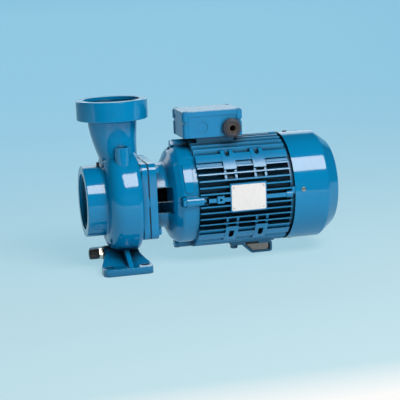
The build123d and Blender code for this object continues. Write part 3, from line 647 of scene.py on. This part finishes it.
def square_ring(bm, sections, corner_centre, segments=144):
    """Closed ring round the shaft line, a rounded square in section.

    sections are (x, half width) in mm. The corners are arcs about a point that stands
    corner_centre out to each side.
    """
    ring = bmesh.ops.create_circle(bm, cap_ends=False, segments=segments, radius=1.0)["verts"]
    first = edges = list({e for v in ring for e in v.link_edges})
    for number, (x, half) in enumerate(sections):
        if number:
            made = bmesh.ops.extrude_edge_only(bm, edges=edges)["geom"]
            ring = [g for g in made if isinstance(g, bmesh.types.BMVert)]
            edges = [g for g in made if isinstance(g, bmesh.types.BMEdge)
                     and all(v in ring for v in g.verts)]
        arc = half - corner_centre
        for v in ring:
            angle = math.atan2(v.co.y, v.co.x)
            near = (angle + math.pi / 4) % (math.pi / 2) - math.pi / 4
            reach = half / math.cos(near)
            if abs(half * math.tan(near)) > corner_centre:
                off = math.pi / 4 - abs(near)
                far = corner_centre * math.sqrt(2)
                reach = far * math.cos(off) + math.sqrt(arc ** 2 - (far * math.sin(off)) ** 2)
            v.co = Vector((reach * MM * math.cos(angle), reach * MM * math.sin(angle), x * MM))
    bmesh.ops.bridge_loops(bm, edges=first + edges)
    place = Matrix.Translation((0, 0, SHAFT_Z)) @ along(ALONG_SHAFT)
    bmesh.ops.transform(bm, matrix=place, verts=bm.verts)


class PUMP_OT_joint_flanges(bpy.types.Operator):
    """Webs between the flanges' lugs, and the gasket in the joint between them"""

    bl_idname = "pump.joint_flanges"
    bl_label = "Joint Flanges"

    def execute(self, context):
        for name, front, rear in (("casing_flange_web", 38.0, 50.8),
                                  ("bracket_flange_web", 52.2, 67.9)):
            bm = bmesh.new()
            square_ring(bm, [(front, 62.0), (front, 74.0), (front + 0.9, 75.2),
                             (rear - 0.9, 75.2), (rear, 74.2), (rear, 62.0)], 59.4)
            placed(bm, name, finish("enamel_on_grey_iron"), "root")
        # gasket: a real part whose dark edge is also painted shade for the gap between the two
        # flanges
        bm = bmesh.new()
        square_ring(bm, [(50.7, 63.0), (50.7, 74.5), (52.3, 74.5), (52.3, 63.0)], 59.4)
        placed(bm, "joint_gasket", finish("gasket_fibre_dark_as_shade"), "root")
        return {"FINISHED"}


class PUMP_OT_drain_knob(bpy.types.Operator):
    """Fluted knob of the drain, with a rounded end"""

    bl_idname = "pump.drain_knob"
    bl_label = "Drain Knob"

    def execute(self, context):
        low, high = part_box("drain_knob")
        centre = (low + high) / 2
        length = high.x - low.x
        radius = (high.z - low.z) / 2
        bm = bmesh.new()
        sections = ((0.0, 0.62), (0.0, 0.9), (0.04, 0.97), (0.1, 1.0), (0.86, 1.0),
                    (0.93, 0.96), (0.98, 0.86), (1.0, 0.7), (1.0, 0.45), (0.96, 0.4),
                    (0.96, 0.0))
        ring = bmesh.ops.create_circle(bm, cap_ends=False, segments=96, radius=1.0)["verts"]
        edges = list({e for v in ring for e in v.link_edges})
        for number, (step, share) in enumerate(sections):
            if number:
                made = bmesh.ops.extrude_edge_only(bm, edges=edges)["geom"]
                ring = [g for g in made if isinstance(g, bmesh.types.BMVert)]
                edges = [g for g in made if isinstance(g, bmesh.types.BMEdge)
                         and all(v in ring for v in g.verts)]
            for v in ring:
                flat = Vector((v.co.x, v.co.y, 0.0))
                if flat.length > 1e-9:
                    flat.normalize()
                angle = math.atan2(flat.y, flat.x)
                flute = 0.09 * max(0.0, math.cos(12 * angle)) ** 2 if 0.05 < step < 0.95 else 0.0
                reach = radius * share * (1 - flute)
                v.co = Vector((flat.x * reach, flat.y * reach, step * length))
        place = Matrix.Translation((high.x, centre.y, centre.z)) @ along(-ALONG_SHAFT)
        bmesh.ops.transform(bm, matrix=place, verts=bm.verts)
        placed(bm, "drain_knob_fluted", finish("black_polyamide"), "root",
               ["drain_knob"])
        return {"FINISHED"}


class PUMP_OT_cable_gland(bpy.types.Operator):
    """Cable gland with a round flange, a ribbed cap nut and its stepped seal"""

    bl_idname = "pump.cable_gland"
    bl_label = "Cable Gland"

    def execute(self, context):
        low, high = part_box("cable_gland")
        near = Vector((0, -1, 0))
        at = Vector(((low.x + high.x) / 2, -46.0 * MM, (low.z + high.z) / 2))
        bm = bmesh.new()
        spun(bm, [(-9, 10.2), (-9, 12.2), (-8.6, 12.4), (0, 12.4), (0, 15.8), (0.5, 16.3),
                  (3.6, 16.3), (4.0, 15.8), (4.2, 15.0)], at, near, 64)
        # the cap nut: a plain collar, a ribbed wall and a stepped front
        spun(bm, [(4.0, 15.4), (4.0, 18.0), (4.5, 18.4), (6.2, 18.4), (6.6, 17.6), (12.2, 17.6),
                  (12.6, 18.2), (13.6, 18.2), (15.2, 17.0), (15.6, 15.6), (17.2, 15.2),
                  (18.6, 14.0), (18.6, 12.9), (17.6, 12.5), (17.6, 11.6), (18.2, 11.1),
                  (18.0, 10.5), (16.6, 10.1), (-9, 10.1)], at, near, 96)
        ribs = 30
        for k in range(ribs):
            a = 2 * math.pi * k / ribs
            spot = at + near * 9.4 * MM + Vector((math.cos(a), 0, math.sin(a))) * 17.6 * MM
            cube = bmesh.ops.create_cube(bm, size=1.0)["verts"]
            shape = (Matrix.Translation(spot) @ Matrix.Rotation(-a, 4, "Y")
                     @ Matrix.Diagonal((1.5 * MM, 5.8 * MM, 1.4 * MM, 1.0)))
            bmesh.ops.transform(bm, matrix=shape, verts=cube)
        placed(bm, "cable_gland_ribbed", finish("gland_polyamide"), "root",
               ["cable_gland"])
        bm = bmesh.new()
        spun(bm, [(-4, 6.2), (-4, 9.9), (17.0, 9.9), (17.9, 9.2), (17.9, 8.3), (16.8, 7.9),
                  (16.8, 7.1), (17.4, 6.6), (16.8, 6.0), (-4, 6.0), (-4, 6.2)], at, near, 64)
        placed(bm, "gland_seal", finish("gland_seal_rubber"), "root",
               ["gland_insert"])
        return {"FINISHED"}


class PUMP_OT_rating_plate(bpy.types.Operator):
    """Bare metal plate with a pressed border, held by four drive rivets"""

    bl_idname = "pump.rating_plate"
    bl_label = "Rating Plate"

    def execute(self, context):
        s = context.scene.pump_plate
        low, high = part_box("nameplate")
        size, middle = high - low, (low + high) / 2
        bm = bmesh.new()
        verts = bmesh.ops.create_cube(bm, size=1.0)["verts"]
        shape = Matrix.Translation(middle) @ Matrix.Diagonal((size.x, size.y, size.z, 1.0))
        bmesh.ops.transform(bm, matrix=shape, verts=verts)
        upright = [e for e in bm.edges
                   if abs(e.verts[0].co.y - e.verts[1].co.y) > size.y * 0.5]
        bmesh.ops.bevel(bm, geom=upright, offset=3.0 * MM, segments=6, profile=0.5,
                        affect="EDGES", material=-1)
        near = [f for f in bm.faces if f.normal.y < -0.9 and f.calc_center_median().y < middle.y]
        bmesh.ops.inset_region(bm, faces=near, thickness=s.border)
        near = [max((f for f in bm.faces if f.normal.y < -0.9), key=lambda f: f.calc_area())]
        bmesh.ops.inset_region(bm, faces=near, thickness=0.35 * MM, depth=-0.25 * MM)
        near = [max((f for f in bm.faces if f.normal.y < -0.9), key=lambda f: f.calc_area())]
        bmesh.ops.inset_region(bm, faces=near, thickness=0.35 * MM, depth=0.25 * MM)
        placed(bm, "rating_plate", finish("satin_anodised_aluminium"), "root",
               ["nameplate"])
        bm = bmesh.new()
        inset = s.border + 3.2 * MM
        for x in (low.x + inset, high.x - inset):
            for z in (low.z + inset, high.z - inset):
                r = s.rivet_radius / MM
                spun(bm, [(-0.1, r), (0.1, r), (0.35, 0.9 * r), (0.6, 0.6 * r), (0.7, 0.0)],
                     Vector((x, low.y, z)), (0, -1, 0), 20)
        placed(bm, "plate_rivets", finish("zinc_plated_steel"), "root")
        return {"FINISHED"}


class PUMP_OT_studio(bpy.types.Operator):
    """Pale sweep, softboxes before and behind, low fill and the camera at the picture's angle"""

    bl_idname = "pump.studio"
    bl_label = "Studio"

    def execute(self, context):
        s = context.scene.pump_stage
        scene = context.scene
        bm = bmesh.new()
        wide = 3.2
        points = [bm.verts.new((-wide, y, z)) for y, z in ((-1.1, 0.0), (1.6, 0.0))]
        line = bm.edges.new(points)
        foot = [points[1]]
        made = bmesh.ops.spin(bm, geom=foot, cent=(0, 1.6, 1.0), axis=(1, 0, 0),
                              angle=math.radians(85), steps=24, use_merge=False,
                              use_duplicate=False)["geom_last"]
        last = [g for g in made if isinstance(g, bmesh.types.BMVert)]
        rise = bmesh.ops.extrude_vert_indiv(bm, verts=last)["verts"]
        bmesh.ops.translate(bm, vec=(0, 0.1, 1.6), verts=rise)
        edges = bm.edges[:]
        swept = bmesh.ops.extrude_edge_only(bm, edges=edges)["geom"]
        bmesh.ops.translate(bm, vec=(2 * wide, 0, 0),
                            verts=[g for g in swept if isinstance(g, bmesh.types.BMVert)])
        bmesh.ops.remove_doubles(bm, verts=bm.verts, dist=1e-6)
        bmesh.ops.recalc_face_normals(bm, faces=bm.faces)
        mesh = bpy.data.meshes.new("studio_sweep")
        bm.to_mesh(mesh)
        bm.free()
        mesh.shade_smooth()
        sweep = bpy.data.objects.new("studio_sweep", mesh)
        scene.collection.objects.link(sweep)
        # matt paper: lit like paper for the pump, an even pale blue for whoever looks at it
        material, tree, out = surface("matt_paper_sweep")
        place = add(tree, "ShaderNodeTexCoord").outputs["Object"]
        split = add(tree, "ShaderNodeSeparateXYZ", {}, Vector=place)
        depth = add(tree, "ShaderNodeMapRange", {"From Min": -1.1, "From Max": 2.2},
                    Value=split.outputs["Y"])
        tint = add(tree, "ShaderNodeValToRGB", {}, Fac=depth.outputs["Result"])
        tint.color_ramp.elements[0].position = 0.07
        tint.color_ramp.elements[0].color = (*srgb("#FFFFFF"), 1.0)
        tint.color_ramp.elements[1].color = (*s.distance, 1.0)
        tint.color_ramp.elements.new(0.11).color = (*s.floor, 1.0)
        paper = add(tree, "ShaderNodeBsdfPrincipled",
                    {"Base Color": (*srgb("#EEF3F5"), 1.0), "Roughness": 0.9, "IOR": 1.4})
        even = add(tree, "ShaderNodeEmission", {"Strength": 1.0}, Color=tint.outputs["Color"])
        path = add(tree, "ShaderNodeLightPath")
        looked = add(tree, "ShaderNodeMath", {"operation": "MAXIMUM"})
        tree.links.new(path.outputs["Is Camera Ray"], looked.inputs[0])
        tree.links.new(path.outputs["Is Glossy Ray"], looked.inputs[1])
        through = add(tree, "ShaderNodeMath", {"operation": "MAXIMUM"})
        tree.links.new(looked.outputs["Value"], through.inputs[0])
        tree.links.new(path.outputs["Is Transmission Ray"], through.inputs[1])
        share = add(tree, "ShaderNodeMath", {"operation": "MULTIPLY"})
        tree.links.new(through.outputs["Value"], share.inputs[0])
        share.inputs[1].default_value = 1.0 - s.paper
        mixed = add(tree, "ShaderNodeMixShader", {}, Fac=share.outputs["Value"])
        tree.links.new(paper.outputs["BSDF"], mixed.inputs[1])
        tree.links.new(even.outputs["Emission"], mixed.inputs[2])
        tree.links.new(mixed.outputs["Shader"], out.inputs["Surface"])
        mesh.materials.append(material)

        world = bpy.data.worlds.new("pale_room")
        scene.world = world
        world.use_nodes = True
        tree = world.node_tree
        tree.nodes.clear()
        path = add(tree, "ShaderNodeLightPath")
        seen = add(tree, "ShaderNodeMath", {"operation": "MAXIMUM"})
        tree.links.new(path.outputs["Is Camera Ray"], seen.inputs[0])
        tree.links.new(path.outputs["Is Transmission Ray"], seen.inputs[1])
        fill = add(tree, "ShaderNodeBackground", {"Color": (*srgb("#DCE6EA"), 1.0),
                                                  "Strength": 0.04})
        pale = add(tree, "ShaderNodeBackground", {"Color": (*srgb("#BFE2F0"), 1.0),
                                                  "Strength": 1.0})
        mixed = add(tree, "ShaderNodeMixShader", {}, Fac=seen.outputs["Value"])
        tree.links.new(fill.outputs["Background"], mixed.inputs[1])
        tree.links.new(pale.outputs["Background"], mixed.inputs[2])
        out = add(tree, "ShaderNodeOutputWorld")
        tree.links.new(mixed.outputs["Shader"], out.inputs["Surface"])

        target = Vector((0.18, 0.0, 0.16))
        lamps = (
            ("front_softbox", (0.66, -1.42, 1.73), target, 1.25, 1.1, s.softbox),
            ("low_fill", (0.1, -2.7, 0.25), target, 3.4, 1.4, s.fill),
            ("back_softbox", (0.2, 2.25, 1.12), Vector((0.2, 0.0, 0.3)), 3.6, 1.1, s.backdrop),
        )
        for name, at, aim, width, height, power in lamps:
            lamp = bpy.data.lights.new(name, "AREA")
            lamp.shape = "RECTANGLE"
            lamp.size, lamp.size_y = width, height
            lamp.energy = power
            lamp.color = (1.0, 0.95, 0.89)
            holder = bpy.data.objects.new(name, lamp)
            holder.location = at
            holder.rotation_mode = "QUATERNION"
            holder.rotation_quaternion = (aim - Vector(at)).to_track_quat("-Z", "Y")
            holder.visible_glossy = name != "low_fill"
            scene.collection.objects.link(holder)

        yaw, pitch, roll = (math.radians(v) for v in (13.393, -10.831, -2.441))
        ahead = Vector((math.sin(yaw) * math.cos(pitch), math.cos(yaw) * math.cos(pitch),
                        math.sin(pitch)))
        level = Vector((math.cos(yaw), -math.sin(yaw), 0.0))
        up = level.cross(ahead)
        right = math.cos(roll) * level + math.sin(roll) * up
        top = -math.sin(roll) * level + math.cos(roll) * up
        camera = bpy.data.objects.new("camera", bpy.data.cameras.new("camera"))
        camera.data.lens = s.lens
        camera.data.sensor_width = 36.0
        camera.data.clip_start, camera.data.clip_end = 0.05, 50.0
        turn = Matrix((right, top, -ahead)).transposed()
        camera.matrix_world = Matrix.Translation((-0.3647, -2.2442, 0.5561)) @ turn.to_4x4()
        scene.collection.objects.link(camera)
        scene.camera = camera
        scene.view_settings.view_transform = "Standard"
        return {"FINISHED"}


class PUMP_PT_pieces(bpy.types.Panel):
    """Buttons and values of the pump's pieces"""

    bl_label = "Pump Pieces"
    bl_idname = "PUMP_PT_pieces"
    bl_space_type = "VIEW_3D"
    bl_region_type = "UI"
    bl_category = "Pump"

    def draw(self, context):
        for name, operators in PANEL_ROWS:
            box = self.layout.box()
            group = getattr(context.scene, name)
            for value in group.__annotations__:
                box.prop(group, value)
            for operator in operators:
                box.operator(operator.bl_idname)


PANEL_ROWS = (
    ("pump_enamel", (PUMP_OT_paint_nodes, PUMP_OT_joint_flanges, PUMP_OT_drain_knob,
                     PUMP_OT_cable_gland)),
    ("pump_fasteners", (PUMP_OT_flange_screws, PUMP_OT_tie_screws, PUMP_OT_foot_screw,
                        PUMP_OT_small_screws)),
    ("pump_ports", (PUMP_OT_port_threads,)),
    ("pump_plate", (PUMP_OT_rating_plate,)),
    ("pump_stage", (PUMP_OT_studio,)),
)
GROUPS = {
    "pump_enamel": PUMP_PG_enamel,
    "pump_fasteners": PUMP_PG_fasteners,
    "pump_ports": PUMP_PG_ports,
    "pump_plate": PUMP_PG_plate,
    "pump_stage": PUMP_PG_stage,
}
OPERATORS = tuple(operator for _, row in PANEL_ROWS for operator in row)


def register():
    for cls in (*GROUPS.values(), *OPERATORS, PUMP_PT_pieces):
        bpy.utils.register_class(cls)
    for name, group in GROUPS.items():
        setattr(bpy.types.Scene, name, PointerProperty(type=group))


def unregister():
    for name in GROUPS:
        delattr(bpy.types.Scene, name)
    for cls in (PUMP_PT_pieces, *reversed(OPERATORS), *GROUPS.values()):
        bpy.utils.unregister_class(cls)


def main():
    register()
    for operator in OPERATORS:
        area, name = operator.bl_idname.split(".")
        getattr(getattr(bpy.ops, area), name)()


if __name__ == "__main__":
    main()
